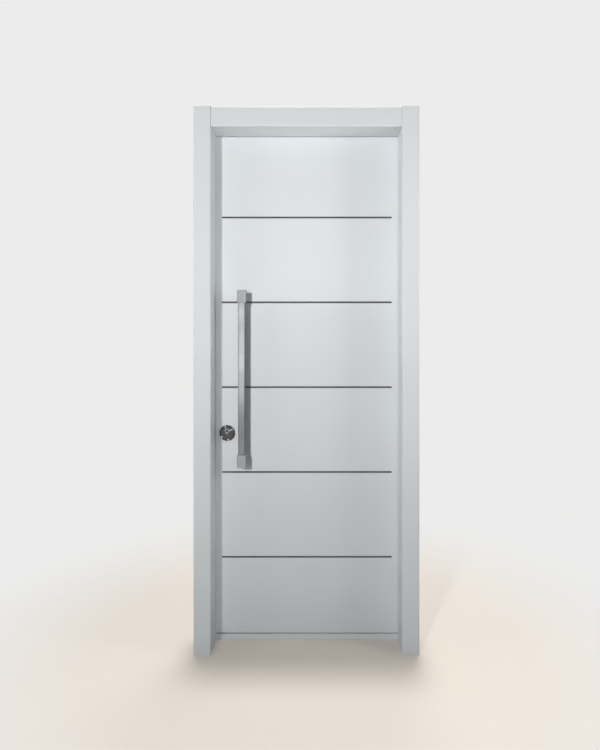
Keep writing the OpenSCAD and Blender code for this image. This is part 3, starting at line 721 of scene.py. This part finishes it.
def makeFloor(look):
    u = roundAngles(look["columns"])
    r = np.array(look["rings"])[:, None]
    disc = np.stack([r * np.cos(u), r * np.sin(u), np.zeros((len(r), len(u)))], axis=-1)
    places, faces = gridSurface(disc, capStart=False)
    mesh = bpy.data.meshes.new("floor")
    mesh.from_pydata(places, [], faces)
    floor = addObject("floor", mesh)
    material = bpy.data.materials.new("paleFloor")
    material.use_nodes = True
    tree = material.node_tree
    tree.nodes.clear()
    place = objectPlace(tree)
    distance = addNode(tree, "ShaderNodeVectorMath", {0: place}, operation="LENGTH").outputs["Value"]
    reach = {"Value": distance, "From Min": look["near"], "From Max": look["far"]}
    fade = addNode(tree, "ShaderNodeMapRange", reach, interpolation_type="SMOOTHERSTEP").outputs["Result"]
    direct = seenDirectly(tree)
    tint = mixedColour(tree, direct, look["bounce"], look["colour"])
    matte = addNode(tree, "ShaderNodeBsdfDiffuse", {"Color": tint}).outputs[0]
    sheen = addNode(tree, "ShaderNodeEmission", {"Color": look["glow"], "Strength": direct}).outputs[0]
    near = addNode(tree, "ShaderNodeAddShader", {0: matte, 1: sheen}).outputs[0]
    far = addNode(tree, "ShaderNodeEmission", {"Color": backdrop, "Strength": 1.0}).outputs[0]
    share = mathOf(tree, "MULTIPLY", fade, direct)
    mixed = addNode(tree, "ShaderNodeMixShader", {0: share, 1: near, 2: far}).outputs[0]
    addNode(tree, "ShaderNodeOutputMaterial", {"Surface": mixed})
    mesh.materials.append(material)


makeFloor(floorLook)

# The room round the stage: pale to the lens, dimmer in reflections, dimmer still as plain light
worldLook = {"mirrored": (0.58, 0.58, 0.58, 1), "ambient": (0.08, 0.081, 0.082, 1)}


def makeWorld(look):
    world = bpy.data.worlds.new("studio")
    bpy.context.scene.world = world
    world.use_nodes = True
    tree = world.node_tree
    tree.nodes.clear()
    path = addNode(tree, "ShaderNodeLightPath", {}).outputs
    seen = mathOf(tree, "MAXIMUM", path["Is Camera Ray"], path["Is Transmission Ray"])
    unseen = mixedColour(tree, path["Is Glossy Ray"], look["ambient"], look["mirrored"])
    colour = mixedColour(tree, seen, unseen, backdrop)
    light = addNode(tree, "ShaderNodeBackground", {"Color": colour, "Strength": 1.0}).outputs[0]
    addNode(tree, "ShaderNodeOutputWorld", {"Surface": light})


makeWorld(worldLook)

# Lamps: where each stands, what it looks at, its size and its power
lamps = {
    "key": {"place": (-1.30, -4.00, 2.15), "aim": (0.28, 0.0, 1.72), "size": (0.26, 0.6), "watts": 20.2,
            "spread": 84.0, "mirrored": False},
    "fill": {"place": (-1.30, -4.00, 1.90), "aim": (0.20, 0.0, 1.60), "size": (0.3, 0.5), "watts": 10.4,
             "spread": 100.0, "mirrored": False, "passes": ["jamb_left"]},
    "right": {"place": (1.90, -0.70, 1.70), "aim": (0.0, 0.0, 1.55), "size": (0.5, 1.3), "watts": 15.8},
    "low": {"place": (-1.30, -4.00, 0.85), "aim": (0.20, 0.0, 0.85), "size": (0.3, 0.5), "watts": 13.4,
            "mirrored": False, "passes": ["jamb_left"]},
    "under": {"place": (0.0, -0.12, 1.20), "aim": (0.0, -0.08, 2.2), "size": (0.78, 0.05), "watts": 0.30,
              "spread": 50.0, "mirrored": False},
    "left": {"place": (-1.90, -0.70, 1.60), "aim": (0.0, 0.0, 1.4), "size": (0.5, 1.3), "watts": 7.0},
    "strip": {"place": (-0.67, -3.00, 1.34), "aim": (-0.28, -0.07, 1.22), "size": (0.36, 1.2), "watts": 7.0,
              "lighting": False},
    "glint": {"place": (-0.63, -3.00, 0.14), "aim": (-0.28, -0.07, 0.80), "size": (0.16, 0.12), "watts": 0.4,
              "lighting": False},
    "overhead": {"kind": "SUN", "place": (0.0, 0.34, 5.0), "aim": (0.0, 0.0, 0.0), "angle": 7.0,
                 "watts": 2.4},
    "back": {"place": (0.9, 3.2, 2.6), "aim": (0.0, 0.0, 1.2), "size": (2.2, 1.6), "watts": 70.0},
}


def makeLamps(settings):
    for name, look in settings.items():
        kind = look.get("kind", "AREA")
        data = bpy.data.lights.new(name, kind)
        if kind == "AREA":
            data.shape = "RECTANGLE"
            data.size, data.size_y = look["size"]
            data.spread = math.radians(look.get("spread", 180.0))
        else:
            data.angle = math.radians(look["angle"])
        data.energy = look["watts"]
        lamp = addObject(name, data)
        lamp.location = look["place"]
        aim = np.array(look["aim"]) - np.array(look["place"])
        lamp.rotation_mode = "QUATERNION"
        lamp.rotation_quaternion = Vector(aim).to_track_quat("-Z", "Y")
        lamp.visible_camera = False
        lamp.visible_glossy = look.get("mirrored", True)
        lamp.visible_diffuse = look.get("lighting", True)
        if "passes" in look:  # these pieces don't stop the lamp's light
            through = bpy.data.collections.new(name + "Passes")
            lamp.light_linking.blocker_collection = through
            for node in look["passes"]:
                through.objects.link(solids[node])
            for entry in through.collection_objects:
                entry.light_linking.link_state = "EXCLUDE"


makeLamps(lamps)
print("stage lit")

# Camera: straight along +Y, with the photo's middle off the lens axis
view = {
    "place": (0.0403, -2.400, 1.3208),
    "lens": 26.2,
    "axisPixel": (316.0, 339.0),
    "imageSize": (600.0, 750.0),
}


def makeCamera(look):
    data = bpy.data.cameras.new("camera")
    data.lens = look["lens"]
    wide, tall = look["imageSize"]
    data.shift_x = (wide / 2 - look["axisPixel"][0]) / tall
    data.shift_y = (look["axisPixel"][1] - tall / 2) / tall
    camera = addObject("camera", data)
    camera.location = look["place"]
    camera.rotation_euler = (math.radians(90), 0, 0)
    bpy.context.scene.camera = camera


makeCamera(view)
bpy.context.scene.view_settings.view_transform = "Standard"
